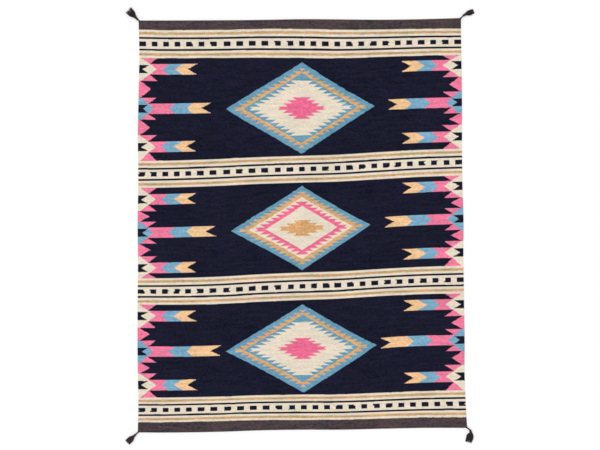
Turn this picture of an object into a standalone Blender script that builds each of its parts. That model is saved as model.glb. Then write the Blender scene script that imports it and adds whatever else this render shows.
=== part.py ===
"""A southwest style rug: one flat tapestry-woven sheet with a yarn tassel at each corner.

The rug lies face up. Its underside is the plane z = 0, with the origin in the middle of it. The length of
the rug runs along Y and its width along X. The hand-woven outline is kept: the ends wander a little and the
sheet widens towards its lower end. Each tassel is the end of the corner yarns: a twisted neck, a bound head
and a skirt of locks that lie level on the floor.
"""
import math
import random
from collections import namedtuple

import bmesh
import bpy
from mathutils import Vector

MM = 0.001

# Sheet: mean sizes of the cloth as it lies
WIDTH = 1.219
LENGTH = 1.538
THICKNESS = 0.0030

# Rim of the sheet: the yarn turns round the outermost cord of the edge
RIM_ROUND = 0.0010
RIM_WIDTH = 0.0045
RIM_TOP = 0.82
RIM_WIDEST = 0.45

# Cells of the sheet between its two rims
SHEET_COLUMNS = 22
SHEET_ROWS = 28

# Unevenness of a hand-beaten weave, as a rise or fall of the upper face
BEAT_DEPTH = 0.00022
BEAT_WAVES_ACROSS = 5.5
BEAT_WAVES_ALONG = 7.5
BEAT_WANDER = 1.5

# How far the ends lie outside the mean rectangle, in millimetres, by the share of the width from the left
End = namedtuple("End", "across upper lower")
ENDS = [
    End(0.00, -3.4, 8.6),
    End(0.10, -3.4, 9.0),
    End(0.25, -2.6, 6.0),
    End(0.37, -1.5, 0.7),
    End(0.50, 1.3, -1.9),
    End(0.62, 0.6, -1.9),
    End(0.75, -0.7, -5.6),
    End(0.87, 1.1, -8.6),
    End(1.00, 5.6, -8.6),
]

# How far the sides lie outside the mean rectangle, in millimetres, by the share of the length from below
Side = namedtuple("Side", "along left right")
SIDES = [
    Side(0.00, 1.9, 12.5),
    Side(0.07, -0.4, 6.4),
    Side(0.13, 1.5, 3.0),
    Side(0.22, 3.0, 3.0),
    Side(0.32, 2.6, 0.7),
    Side(0.42, 1.1, -1.5),
    Side(0.51, 2.6, -1.1),
    Side(0.61, 0.0, -5.6),
    Side(0.72, 1.7, -6.7),
    Side(0.80, -0.4, -6.7),
    Side(0.92, -3.9, -9.4),
    Side(1.00, -1.1, -10.8),
]

# Clearance between the cloth's corner and the neck of a tassel
SEAT_GAP = 0.0003

# Tassels: directions in degrees from +X, lengths and widths in millimetres
Tassel = namedtuple(
    "Tassel",
    "name right upper neck_heading skirt_heading neck_length skirt_length"
    " belly_at belly_width end_width locks seed",
)
TASSELS = [
    Tassel("tassel_upper_left", 0, 1, 135.0, 134.0, 6.0, 41.0, 0.80, 27.0, 29.0, 10, 11),
    Tassel("tassel_upper_right", 1, 1, 46.0, 20.0, 14.0, 33.0, 0.62, 20.0, 15.5, 8, 23),
    Tassel("tassel_lower_left", 0, 0, 222.0, 225.0, 17.0, 30.0, 0.75, 21.0, 22.0, 8, 37),
    Tassel("tassel_lower_right", 1, 0, -42.0, -99.0, 13.0, 37.0, 0.60, 27.0, 25.0, 9, 51),
]

# Neck: two yarns twisted to one cord
NECK_RADIUS = 0.0025
NECK_LOBE = 0.16
NECK_TWIST_PITCH = 0.011
NECK_STEP = 0.0018

# Head: the bound knot, a little higher than the neck, and the mouth that the locks leave it by
HEAD_LENGTH = 0.0070
HEAD_WIDTH = 0.0092
HEAD_HEIGHT = 0.0070
HEAD_STEPS = 5
HEAD_FULLNESS = 0.6
HEAD_WRAP_DEPTH = 0.07
MOUTH_WIDTH = 0.0082
MOUTH_HEIGHT = 0.0063
MOUTH_ROUNDING = 0.25

# Locks of the skirt, in layers that lie on each other
LAYERS = 3
LAYER_SHIFT = 0.3
LOCK_FILL = 0.84
LOCK_HEIGHT = 0.0017
LOCK_LAYER_GAP = 0.0003
LOCK_STEPS = 6
LOCK_SETTLED_AT = 0.35
LOCK_TAPER_FROM = 0.7
LOCK_TIP = 0.62
LOCK_SWAY = 0.0006
LAYER_PHASE = 2.0
LOCK_LENGTH_SPREAD = 0.09
ROOT_INSET = 0.00010

# Where a tassel turns from its neck's heading to its skirt's, as shares of the neck and of the skirt
TURN_FROM = 0.4
TURN_TO = 0.35

# Step by which a tassel's centre line is followed
PATH_STEP = 0.0005

CLOTH_COLOUR = (0.016, 0.014, 0.030, 1.0)
YARN_COLOUR = (0.060, 0.044, 0.046, 1.0)
WOOL_ROUGHNESS = 0.95


def clear_scene():
    """Remove every object of the scene that the file starts with."""
    for item in list(bpy.data.objects):
        bpy.data.objects.remove(item, do_unlink=True)


def wool(name, colour):
    """Plain dyed wool: a Principled BSDF with no shine."""
    material = bpy.data.materials.new(name)
    material.use_nodes = True
    shader = material.node_tree.nodes["Principled BSDF"]
    shader.inputs["Base Color"].default_value = colour
    shader.inputs["Roughness"].default_value = WOOL_ROUGHNESS
    shader.inputs["Metallic"].default_value = 0.0
    return material


def drift(rows, column, share):
    """Read a column of a drift table at a share of the way along it, as one smooth curve, in metres."""
    places = [row[0] for row in rows]
    values = [getattr(row, column) * MM for row in rows]
    share = min(max(share, 0.0), 1.0)
    last = len(rows) - 2
    at = next((k for k in range(last + 1) if share <= places[k + 1]), last)
    before = max(at - 1, 0)
    after = min(at + 2, last + 1)
    span = places[at + 1] - places[at]
    slope_in = (values[at + 1] - values[before]) / (places[at + 1] - places[before]) * span
    slope_out = (values[after] - values[at]) / (places[after] - places[at]) * span
    t = (share - places[at]) / span
    rise = t * t * (3.0 - 2.0 * t)
    bend_in = t * (1.0 - t) ** 2
    bend_out = -t * t * (1.0 - t)
    return values[at] + (values[at + 1] - values[at]) * rise + slope_in * bend_in + slope_out * bend_out


def on_sheet(across, along):
    """Place of a point of the cloth, from its shares of the width and the length."""
    left = -WIDTH / 2 - drift(SIDES, "left", along)
    right = WIDTH / 2 + drift(SIDES, "right", along)
    lower = -LENGTH / 2 - drift(ENDS, "lower", across)
    upper = LENGTH / 2 + drift(ENDS, "upper", across)
    return Vector((left + (right - left) * across, lower + (upper - lower) * along, 0.0))


def loom_lines(cells, size):
    """Shares of a side at which the sheet's mesh has a line: the two rims and even cells between them."""
    edge = RIM_ROUND / size
    rim = RIM_WIDTH / size
    inner = [rim + (1.0 - 2.0 * rim) * k / cells for k in range(cells + 1)]
    return [edge] + inner + [1.0 - edge]


def beat(across, along):
    """Rise of the upper face from the mean thickness."""
    wave = math.sin(BEAT_WAVES_ACROSS * math.tau * across + BEAT_WANDER * math.sin(math.tau * along))
    swell = math.sin(BEAT_WAVES_ALONG * math.tau * along + BEAT_WANDER * math.cos(math.tau * across))
    return BEAT_DEPTH * (wave + swell) / 2


def build_cloth(collection):
    """The woven sheet: a grid on the sheet's outline, extruded to its thickness, with a rounded rim."""
    lines_across = loom_lines(SHEET_COLUMNS, WIDTH)
    lines_along = loom_lines(SHEET_ROWS, LENGTH)
    columns = len(lines_across) - 1
    rows = len(lines_along) - 1
    mesh_data = bmesh.new()
    bmesh.ops.create_grid(mesh_data, x_segments=columns, y_segments=rows, size=0.5)
    places = {}
    for point in mesh_data.verts:
        column = round((point.co.x + 0.5) * columns)
        row = round((point.co.y + 0.5) * rows)
        places[(column, row)] = point
    for (column, row), point in places.items():
        point.co = on_sheet(lines_across[column], lines_along[row])
    for column, row in ((0, 0), (columns, 0), (0, rows), (columns, rows)):
        beside = places[(abs(column - 1), row)].co
        below = places[(column, abs(row - 1))].co
        places[(column, row)].co = (beside + below) / 2
    rises = {}
    for (column, row), point in places.items():
        on_rim = column in (0, columns) or row in (0, rows)
        rise = THICKNESS * RIM_TOP if on_rim else THICKNESS + beat(lines_across[column], lines_along[row])
        rises[(round(point.co.x, 6), round(point.co.y, 6))] = rise
    lifted = bmesh.ops.extrude_face_region(mesh_data, geom=mesh_data.faces[:])["geom"]
    for point in [part for part in lifted if isinstance(part, bmesh.types.BMVert)]:
        point.co.z = rises[(round(point.co.x, 6), round(point.co.y, 6))]
    bmesh.ops.recalc_face_normals(mesh_data, faces=mesh_data.faces[:])
    middle = Vector((0.0, 0.0, THICKNESS * RIM_WIDEST))
    whole = mesh_data.verts[:] + mesh_data.edges[:] + mesh_data.faces[:]
    cut = bmesh.ops.bisect_plane(mesh_data, geom=whole, plane_co=middle, plane_no=(0.0, 0.0, 1.0))
    ring = [part for part in cut["geom_cut"] if isinstance(part, bmesh.types.BMVert)]
    mesh_data.normal_update()
    for point in ring:
        outward = Vector((point.normal.x, point.normal.y, 0.0)).normalized()
        point.co += outward * RIM_ROUND
    return finish_mesh(mesh_data, "woven_cloth", collection, wool("tapestry_wool", CLOTH_COLOUR))


def finish_mesh(mesh_data, name, collection, material):
    """Turn worked mesh data into a named object with its material."""
    mesh = bpy.data.meshes.new(name)
    mesh_data.to_mesh(mesh)
    mesh_data.free()
    mesh.materials.append(material)
    mesh.shade_smooth()
    mesh.set_sharp_from_angle(angle=math.radians(40.0))
    item = bpy.data.objects.new(name, mesh)
    collection.objects.link(item)
    return item


def corner_seat(tassel):
    """Middle of the cloth's blunt corner at its widest, from which the neck of a tassel starts."""
    beside = on_sheet(abs(tassel.right - RIM_WIDTH / WIDTH), abs(tassel.upper - RIM_ROUND / LENGTH))
    below = on_sheet(abs(tassel.right - RIM_ROUND / WIDTH), abs(tassel.upper - RIM_WIDTH / LENGTH))
    chord = (beside - below).normalized()
    outward = Vector((-chord.y, chord.x, 0.0))
    middle = (beside + below) / 2
    return middle + outward * math.copysign(RIM_ROUND, outward.dot(middle))


def eased(t):
    """Smooth step from 0 to 1."""
    t = min(max(t, 0.0), 1.0)
    return t * t * (3.0 - 2.0 * t)


def centre_line(tassel):
    """Points and headings along a tassel's middle on the floor, a short step apart, from the cloth out."""
    neck = tassel.neck_length * MM
    reach = neck + HEAD_LENGTH + tassel.skirt_length * MM * (1.0 + LOCK_LENGTH_SPREAD)
    turn_from = neck * TURN_FROM
    turn_to = neck + HEAD_LENGTH + tassel.skirt_length * MM * TURN_TO
    first = math.radians(tassel.neck_heading)
    last = math.radians(tassel.skirt_heading)
    place = corner_seat(tassel) + SEAT_GAP * Vector((math.cos(first), math.sin(first), 0.0))
    line = []
    for k in range(math.ceil(reach / PATH_STEP) + 1):
        share = (k * PATH_STEP - turn_from) / (turn_to - turn_from)
        heading = first + (last - first) * eased(share)
        line.append((place.copy(), heading))
        place += PATH_STEP * Vector((math.cos(heading), math.sin(heading), 0.0))
    return line


def station(line, distance):
    """Point and leftward direction at a distance along a centre line."""
    at = min(int(distance / PATH_STEP), len(line) - 1)
    place, heading = line[at]
    forward = Vector((math.cos(heading), math.sin(heading), 0.0))
    left = Vector((-forward.y, forward.x, 0.0))
    return place + forward * (distance - at * PATH_STEP), left


def skirt_width(tassel, t):
    """Width of the skirt at a share of its length: out from the mouth to the belly, then on to the ends."""
    belly = tassel.belly_width * MM
    if t < tassel.belly_at:
        return MOUTH_WIDTH + (belly - MOUTH_WIDTH) * eased(t / tassel.belly_at)
    past = (t - tassel.belly_at) / (1.0 - tassel.belly_at)
    return belly + (tassel.end_width * MM - belly) * eased(past)


def mouth_grid(mesh_data, tassel, line):
    """Front of the head: a rounded grid with one cell for the root of each lock, and its border in order."""
    made = bmesh.ops.create_grid(mesh_data, x_segments=tassel.locks, y_segments=LAYERS, size=1.0)["verts"]
    place, left = station(line, tassel.neck_length * MM + HEAD_LENGTH)
    points = {}
    for point in made:
        across, up = point.co.x, point.co.y
        points[(round((across + 1.0) / 2 * tassel.locks), round((up + 1.0) / 2 * LAYERS))] = point
        sideways = across * math.sqrt(1.0 - MOUTH_ROUNDING * up * up) * MOUTH_WIDTH / 2
        height = (1.0 + up * math.sqrt(1.0 - MOUTH_ROUNDING * across * across)) * MOUTH_HEIGHT / 2
        point.co = place + left * sideways + Vector((0.0, 0.0, height))
    border = [(k, 0) for k in range(tassel.locks)]
    border += [(tassel.locks, k) for k in range(LAYERS)]
    border += [(k, LAYERS) for k in range(tassel.locks, 0, -1)]
    border += [(0, k) for k in range(LAYERS, 0, -1)]
    return [points[key] for key in border]


def neck_and_head_sections(tassel):
    """Sections from the mouth back to the cloth: distance, half width, half height, lobe and twist."""
    neck = tassel.neck_length * MM
    sections = []
    for k in range(1, HEAD_STEPS + 1):
        t = k / (HEAD_STEPS + 1)
        swell = math.cos(t * math.pi / 2) ** HEAD_FULLNESS
        wrap = 1.0 - HEAD_WRAP_DEPTH * (k % 2)
        half_width = (NECK_RADIUS + (HEAD_WIDTH / 2 - NECK_RADIUS) * swell) * wrap
        half_height = (NECK_RADIUS + (HEAD_HEIGHT / 2 - NECK_RADIUS) * swell) * wrap
        sections.append((neck + HEAD_LENGTH * (1.0 - t), half_width, half_height, 0.0, 0.0))
    steps = max(round(neck / NECK_STEP), 2)
    for k in range(steps + 1):
        distance = neck * (1.0 - k / steps)
        turn = math.tau * distance / NECK_TWIST_PITCH
        sections.append((distance, NECK_RADIUS, NECK_RADIUS, NECK_LOBE, turn))
    return sections


def add_neck_and_head(mesh_data, tassel, line, border):
    """Loft from the border of the mouth back through the head and the twisted neck, and close the end."""
    count = len(border)
    first_angle = -math.pi / 2 - math.pi * tassel.locks / count
    for distance, half_width, half_height, lobe, turn in neck_and_head_sections(tassel):
        place, left = station(line, distance)
        ring = []
        for k in range(count):
            angle = first_angle + math.tau * k / count
            reach = 1.0 + lobe * (math.cos(2.0 * (angle - turn)) - 1.0)
            sideways = left * half_width * reach * math.cos(angle)
            up = Vector((0.0, 0.0, half_height * (1.0 + reach * math.sin(angle))))
            ring.append(mesh_data.verts.new(place + sideways + up))
        for k in range(count):
            after = (k + 1) % count
            mesh_data.faces.new((border[k], border[after], ring[after], ring[k]))
        border = ring
    mesh_data.faces.new(border)


def add_lock(mesh_data, tassel, line, root, layer, share, length):
    """Draw one lock out of its cell of the mouth, section by section, down to rest on what lies under it."""
    face = root
    middle = face.calc_center_median()
    start = tassel.neck_length * MM + HEAD_LENGTH
    left = station(line, start)[1]
    root_height = MOUTH_HEIGHT * (layer + 0.5) / LAYERS
    for step in range(1, LOCK_STEPS + 1):
        t = step / LOCK_STEPS
        tip = 1.0 - (1.0 - LOCK_TIP) * eased((t - LOCK_TAPER_FROM) / (1.0 - LOCK_TAPER_FROM))
        half_width = skirt_width(tassel, t) / tassel.locks * LOCK_FILL / 2 * tip
        half_height = LOCK_HEIGHT / 2 * tip
        rest_height = layer * (LOCK_HEIGHT + LOCK_LAYER_GAP) + half_height
        settled = eased(t / LOCK_SETTLED_AT)
        sway = LOCK_SWAY * math.sin(math.pi * t + layer * LAYER_PHASE) * t
        place, new_left = station(line, start + length * t)
        lateral = share * skirt_width(tassel, t) + sway
        new_middle = place + new_left * lateral
        new_middle.z = root_height + (rest_height - root_height) * settled
        face = bmesh.ops.extrude_discrete_faces(mesh_data, faces=[face])["faces"][0]
        for point in face.verts:
            arm = point.co - middle
            side = math.copysign(half_width, arm.dot(left))
            rise = math.copysign(half_height, arm.z)
            point.co = new_middle + new_left * side + Vector((0.0, 0.0, rise))
        middle = new_middle
        left = new_left


def build_tassel(collection, material, tassel):
    """One tassel as one solid: neck, head and the locks that grow from the head's mouth."""
    line = centre_line(tassel)
    dice = random.Random(tassel.seed)
    mesh_data = bmesh.new()
    border = mouth_grid(mesh_data, tassel, line)
    roots = mesh_data.faces[:]
    add_neck_and_head(mesh_data, tassel, line, border)
    bmesh.ops.recalc_face_normals(mesh_data, faces=mesh_data.faces[:])
    mouth, left = station(line, tassel.neck_length * MM + HEAD_LENGTH)
    seats = []
    for root in roots:
        centre = root.calc_center_median()
        layer = int(centre.z / MOUTH_HEIGHT * LAYERS)
        seats.append((layer, (centre - mouth).dot(left), root))
    bmesh.ops.inset_individual(mesh_data, faces=roots, thickness=ROOT_INSET)
    for layer in range(LAYERS):
        row = sorted((seat for seat in seats if seat[0] == layer), key=lambda seat: seat[1])
        for column, (_, _, root) in enumerate(row):
            share = (column + 0.5 + LAYER_SHIFT * (layer % 2)) / tassel.locks - 0.5
            spread = dice.uniform(-LOCK_LENGTH_SPREAD, LOCK_LENGTH_SPREAD)
            add_lock(mesh_data, tassel, line, root, layer, share, tassel.skirt_length * MM * (1.0 + spread))
    bmesh.ops.recalc_face_normals(mesh_data, faces=mesh_data.faces[:])
    return finish_mesh(mesh_data, tassel.name, collection, material)


def main():
    """Build the cloth and its four tassels."""
    clear_scene()
    collection = bpy.data.collections.new("southwest_rug")
    bpy.context.scene.collection.children.link(collection)
    build_cloth(collection)
    yarn = wool("dark_brown_yarn", YARN_COLOUR)
    for tassel in TASSELS:
        build_tassel(collection, yarn, tassel)


main()
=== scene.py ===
"""Looks of a southwest style rug: the tapestry-woven cloth, its four corner tassels and a white studio floor.

The rug lies face up on z = 0, its length along Y. The cloth is one closed sheet whose mesh follows the picks
of the weave, so its UV map "loom" holds for each point the place it had on the loom: across the warps and
along them, in metres from the middle. The pattern is worked out from that map, as figures between the edge,
the middle and the weaver's centre lines, so it bends and slants with the cloth.
"""
import math
import random
from collections import namedtuple

import bmesh
import bpy
import numpy as np
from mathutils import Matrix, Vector


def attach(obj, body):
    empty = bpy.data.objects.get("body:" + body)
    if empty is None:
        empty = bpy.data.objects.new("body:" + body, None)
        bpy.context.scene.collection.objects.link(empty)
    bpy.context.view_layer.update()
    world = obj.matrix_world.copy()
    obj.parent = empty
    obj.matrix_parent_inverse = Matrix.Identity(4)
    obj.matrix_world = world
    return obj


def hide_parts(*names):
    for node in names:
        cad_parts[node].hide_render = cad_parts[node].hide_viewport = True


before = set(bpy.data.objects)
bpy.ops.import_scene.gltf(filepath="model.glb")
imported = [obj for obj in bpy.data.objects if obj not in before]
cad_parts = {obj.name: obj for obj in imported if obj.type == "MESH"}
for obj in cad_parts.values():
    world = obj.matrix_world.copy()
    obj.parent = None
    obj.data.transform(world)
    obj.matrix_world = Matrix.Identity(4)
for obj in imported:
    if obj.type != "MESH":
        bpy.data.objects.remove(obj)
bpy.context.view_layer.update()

bl_info = {
    "name": "Southwest Rug",
    "version": (1, 0, 0),
    "blender": (4, 5, 0),
    "location": "3D View > Sidebar > Rug",
    "description": "Weaves the cloth, ties its tassels and sets the studio round it",
    "category": "Object",
}

MM = 0.001

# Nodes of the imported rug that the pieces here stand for
CLOTH_NODE = "woven_cloth"
BODY = "root"

# How far the ends lie outside the mean rectangle, in millimetres, by the share of the width from the left
End = namedtuple("End", "across upper lower")
ENDS = [
    End(0.00, -3.4, 8.6),
    End(0.10, -3.4, 9.0),
    End(0.25, -2.6, 6.0),
    End(0.37, -1.5, 0.7),
    End(0.50, 1.3, -1.9),
    End(0.62, 0.6, -1.9),
    End(0.75, -0.7, -5.6),
    End(0.87, 1.1, -8.6),
    End(1.00, 5.6, -8.6),
]

# How far the sides lie outside the mean rectangle, in millimetres, by the share of the length from below
Side = namedtuple("Side", "along left right")
SIDES = [
    Side(0.00, 1.9, 12.5),
    Side(0.07, -0.4, 6.4),
    Side(0.13, 1.5, 3.0),
    Side(0.22, 3.0, 3.0),
    Side(0.32, 2.6, 0.7),
    Side(0.42, 1.1, -1.5),
    Side(0.51, 2.6, -1.1),
    Side(0.61, 0.0, -5.6),
    Side(0.72, 1.7, -6.7),
    Side(0.80, -0.4, -6.7),
    Side(0.92, -3.9, -9.4),
    Side(1.00, -1.1, -10.8),
]

# Heights of the eight changes of band above the lower edge, in millimetres, by the share of the width
Picks = namedtuple("Picks", "across end_4 band_4 band_3 panel_3 panel_2 band_2 panel_1 band_1")
PICKS = [
    Picks(0.00, 37.8, 130.3, 479.0, 576.7, 916.0, 1016.4, 1402.9, 1508.5),
    Picks(0.25, 40.4, 131.4, 479.0, 580.8, 921.3, 1021.6, 1400.3, 1505.1),
    Picks(0.50, 36.7, 131.1, 485.4, 588.0, 925.4, 1025.4, 1392.4, 1501.0),
    Picks(0.75, 38.6, 134.4, 497.0, 598.1, 935.1, 1036.2, 1392.0, 1494.6),
    Picks(1.00, 39.7, 141.9, 503.7, 607.4, 945.6, 1046.0, 1396.5, 1495.0),
]

# How much higher than evenly spaced each arrow was woven, in millimetres, at the left and the right edge
Arrow = namedtuple("Arrow", "panel place left right")
ARROWS = [
    Arrow(1, 1, 6.0, 6.0),
    Arrow(1, 0, 3.0, -1.7),
    Arrow(1, -1, 4.1, 2.2),
    Arrow(0, 1, -1.5, 3.4),
    Arrow(0, 0, 1.5, 6.9),
    Arrow(0, -1, -3.4, 8.2),
    Arrow(-1, 1, 0.4, 4.9),
    Arrow(-1, 0, -1.7, 6.9),
    Arrow(-1, -1, 3.7, 6.4),
]

# The share of the width up to which an arrow's shift holds in full, and where it has faded out
SHIFT_HELD_TO = 0.20
SHIFT_GONE_AT = 0.34

# Yarns of the cloth, by the number that the pattern gives them
YARNS = ("navy", "cream", "tan", "gold", "rose", "pink", "blue", "brown", "sand", "sky")
NAVY, CREAM, TAN, GOLD, ROSE, PINK, BLUE, BROWN, SAND, SKY = range(len(YARNS))

# A figure of the pattern: a colour from the line it is counted from out to a reach that changes evenly
# between two distances from the figure's centre line. Teeth swing its border out and in: each runs out
# slowly and ends in a level edge on the side away from the centre line. All in millimetres.
Figure = namedtuple("Figure", "yarn start stop reach_start reach_stop tooth pitch")

# Arrow woven in from the edge next to a band: shaft in three colours, wings, cream cross and navy tail
SHORT_ARROW = [
    Figure(GOLD, 0.0, 19.8, 191.0, 227.0, 0.0, 0.0),
    Figure(SKY, 0.0, 19.8, 139.0, 172.0, 0.0, 0.0),
    Figure(PINK, 0.0, 19.8, 90.5, 114.0, 0.0, 0.0),
    Figure(PINK, 21.3, 43.8, 40.8, 71.2, 0.0, 0.0),
    Figure(CREAM, 0.0, 43.8, 68.9, 7.4, 0.0, 0.0),
    Figure(NAVY, 0.0, 15.4, 12.8, 38.6, 0.0, 0.0),
]

# Arrow in the middle of a panel; its gold tip is woven apart, because it grows from panel to panel
LONG_ARROW = [
    Figure(SKY, 0.0, 19.3, 190.0, 212.7, 0.0, 0.0),
    Figure(PINK, 0.0, 19.3, 118.0, 142.0, 0.0, 0.0),
    Figure(PINK, 20.2, 40.8, 39.3, 69.7, 0.0, 0.0),
    Figure(SKY, 0.0, 40.8, 60.0, 11.2, 0.0, 0.0),
    Figure(NAVY, 0.0, 14.6, 17.6, 38.4, 0.0, 0.0),
]
LONG_TIP = Figure(GOLD, 0.0, 19.3, 261.5, 299.0, 0.0, 0.0)
LONG_TIP_GROWTH = 17.0

# Pink triangle on the edge between two arrows
EDGE_TRIANGLE = Figure(PINK, 0.0, 23.2, 46.8, 7.5, 0.0, 0.0)

# Diamonds: rings within rings, the toothed ones beaten in as small steps
OUTER_DIAMOND = [
    Figure(BLUE, 0.0, 164.4, 278.0, 0.0, 0.0, 0.0),
    Figure(TAN, 0.0, 143.0, 241.0, -4.0, 16.5, 11.4),
    Figure(BLUE, 0.0, 126.6, 212.2, 0.0, 0.0, 0.0),
    Figure(CREAM, 0.0, 98.3, 183.5, 25.5, 20.0, 11.5),
    Figure(ROSE, 0.0, 39.0, 86.0, 18.0, 18.5, 10.8),
]
MIDDLE_DIAMOND = [
    Figure(BLUE, 0.0, 164.4, 258.4, 0.0, 0.0, 0.0),
    Figure(TAN, 0.0, 141.0, 221.8, 2.4, 17.0, 11.35),
    Figure(CREAM, 0.0, 121.8, 194.3, 0.0, 0.0, 0.0),
    Figure(ROSE, 0.0, 102.7, 168.0, 10.0, 17.5, 11.85),
    Figure(CREAM, 0.0, 86.9, 136.2, 0.0, 0.0, 0.0),
    Figure(TAN, 0.0, 30.8, 87.0, 14.4, 20.0, 11.2),
]

# How far right of evenly spaced the warps lie, in millimetres, by the share of the width from the left
Shift = namedtuple("Shift", "across right")
WARP_SHIFTS = [
    Shift(0.00, 0.0),
    Shift(0.10, -3.4),
    Shift(0.19, -8.4),
    Shift(0.27, -2.6),
    Shift(0.36, 2.2),
    Shift(0.46, 7.5),
    Shift(0.52, 5.0),
    Shift(0.62, 2.0),
    Shift(0.76, 2.4),
    Shift(0.86, -0.4),
    Shift(1.00, 0.0),
]

# Millimetres that the shifts' curve spans from its bottom to its top
SHIFT_RANGE = 40.0

# Clearance between the cloth's corner and the neck of a tassel, and the rim there, as the solids have them
SEAT_GAP = 0.0003
SEAT_RIM_ROUND = 0.0010
SEAT_RIM_WIDTH = 0.0045

# Tassels: directions in degrees from +X, lengths and widths in millimetres
Tassel = namedtuple(
    "Tassel",
    "name right upper neck_heading skirt_heading neck_length skirt_length belly_at belly_width end_width"
    " seed",
)
TASSELS = [
    Tassel("tassel_upper_left", 0, 1, 135.0, 134.0, 5.0, 44.0, 0.72, 28.0, 31.0, 11),
    Tassel("tassel_upper_right", 1, 1, 46.0, 20.0, 14.0, 35.5, 0.58, 21.0, 17.0, 23),
    Tassel("tassel_lower_left", 0, 0, 222.0, 225.0, 13.5, 35.5, 0.50, 22.5, 23.5, 37),
    Tassel("tassel_lower_right", 1, 0, -35.0, -105.5, 14.5, 40.5, 0.48, 28.0, 25.5, 51),
]

# Head of a tassel, and the mouth that its yarns leave it by
NECK_RADIUS = 0.0028
NECK_FLARE = 0.5
HEAD_LENGTH = 0.0070
HEAD_WIDTH = 0.0092
HEAD_HEIGHT = 0.0070
MOUTH_WIDTH = 0.0082
MOUTH_HEIGHT = 0.0063
TURN_FROM = 0.4
TURN_TO = 0.35
PATH_STEP = 0.0005


# Faces across one rib, the rows' least distance from a change of band, and room round the baking map
RIB_CELLS = 3
ROW_CLEARANCE = 0.006
BAKE_MARGIN = 0.12

# Rim of the sheet from its face round to its underside: the weft turns round the outermost cord
RimLevel = namedtuple("RimLevel", "inset height")
RIM_PROFILE = [
    RimLevel(0.0014, 0.93),
    RimLevel(0.0004, 0.76),
    RimLevel(0.0000, 0.45),
    RimLevel(0.0004, 0.14),
    RimLevel(0.0014, 0.00),
]

# How often a colour change strays per metre across and along, and a distance out of every figure's reach
STRAY_SCALE = (12.0, 60.0, 1.0)
FAR = 10.0

# How strongly the tone of each yarn swings, in the order of YARNS
HEATHER = (0.9, 0.22, 0.42, 0.36, 0.34, 0.34, 0.42, 0.8, 0.5, 0.42)

# Unevenness of spinning and dyeing: how often per metre across and along, and its share. The last is single
# yarns, which are finer than a picture of the whole rug can show and so are drawn a few beads across.
UNEVENNESS = (
    ((5.0, 9.0, 1.0), 0.8),
    ((14.0, 90.0, 1.0), 1.6),
    ((90.0, 130.0, 1.0), 1.7),
)
TINT_SHARE = 0.35
BEAD_SWING = 0.6
FIBRE_SCALE = 1400.0
BEAD_HEIGHT = 0.00025

# Surface of wool: rough and nearly without highlight, with a faint bloom
WOOL_ROUGHNESS = 0.92
LOOSE_ROUGHNESS = 0.95
WOOL_SPECULAR = 0.05
WOOL_SHEEN = 0.03
SHEEN_ROUGHNESS = 0.6

# Skirt yarns: spread of their lengths, how they pile, sway and thin out, and the points along each
LENGTH_SPREAD = 0.09
SKIRT_PILES = 4
PILE_HEIGHT = 0.00135
SKIRT_STEPS = 20
SKIRT_SETTLED_AT = 0.40
SKIRT_SWAY = 0.0011
END_THINNING = 0.35

# Head and neck: yarns wound round the head, cords twisted in the neck, and points per turn
WRAP_POINTS = 14
NECK_CORDS = 2
NECK_PLIES = 3
NECK_STEP = 0.0009
NECK_START = -0.0025
NECK_PLY_RADIUS = 0.00085
FLOOR_ROOM = 1.12

# Inside the head: points of a yarn there, and how close together the yarns start
HEAD_POINTS = 4
HEAD_PINCH = 0.25
PILE_SHARE = 0.85

# Unevenness of the skirt's yarns: their place in a pile, their waves and sway, how they lean, how a pile
# flattens towards the ends, and the thickness of single yarns
PLACE_SPREAD = (0.1, 0.9)
WAVES = (0.7, 1.9)
SWAY_SPREAD = (0.3, 1.2)
LEAN = 0.03
PILE_FLATTENING = 0.35
LIFT_SHARE = 0.25
THICKNESS_SPREAD = (0.85, 1.1)
TONE_SPREAD = (0.2, 0.8)

# Wraps: where on the head's bulge they begin, how far they go round it, and how full it is
BULGE_FROM = 0.22
BULGE_OVER = 0.60
BULGE_FULLNESS = 0.6

# Neck: radii of a cord's and a ply's turn and the ply's pitch as shares, and how far it runs into the head
CORD_TURN = 0.5
PLY_TURN = 0.27
PLY_PITCH = 0.6
NECK_INTO_HEAD = 0.3

# Section of a plied yarn: its narrow width as a share of the broad one, and its corners
YARN_WAIST = 0.72
YARN_SIDES = 7

# Undyed brown of the loose yarns beside that of the cloth, its flecks and fibres per metre, and their relief
LOOSE_DARK = 0.25
LOOSE_PALE = 1.05
LOOSE_FLECKS = 900.0
LOOSE_FIBRES = 2600.0
LOOSE_RELIEF = 0.0002

# Stage: floor's half size, where the soft light comes from and how wide it is, and the camera's sensor
FLOOR_HALF = 8.0
KEY_FROM = (-0.45, 0.55, 1.0)
KEY_SPREAD = 40.0
SENSOR_WIDTH = 36.0


def srgb(code):
    """Linear colour of an sRGB hex code."""
    shares = [int(code[k:k + 2], 16) / 255 for k in (1, 3, 5)]
    return tuple(c / 12.92 if c <= 0.04045 else ((c + 0.055) / 1.055) ** 2.4 for c in shares)


def add(tree, kind, values=None, **settings):
    """Add a node: settings are its properties, and values its inputs by name or number, plain or linked."""
    node = tree.nodes.new(kind)
    for name, value in settings.items():
        setattr(node, name, value)
    for key, value in (values or {}).items():
        if isinstance(value, bpy.types.NodeSocket):
            tree.links.new(value, node.inputs[key])
        else:
            node.inputs[key].default_value = value
    return node


def eased(t):
    """Smooth step from 0 to 1."""
    t = min(max(t, 0.0), 1.0)
    return t * t * (3.0 - 2.0 * t)


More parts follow.
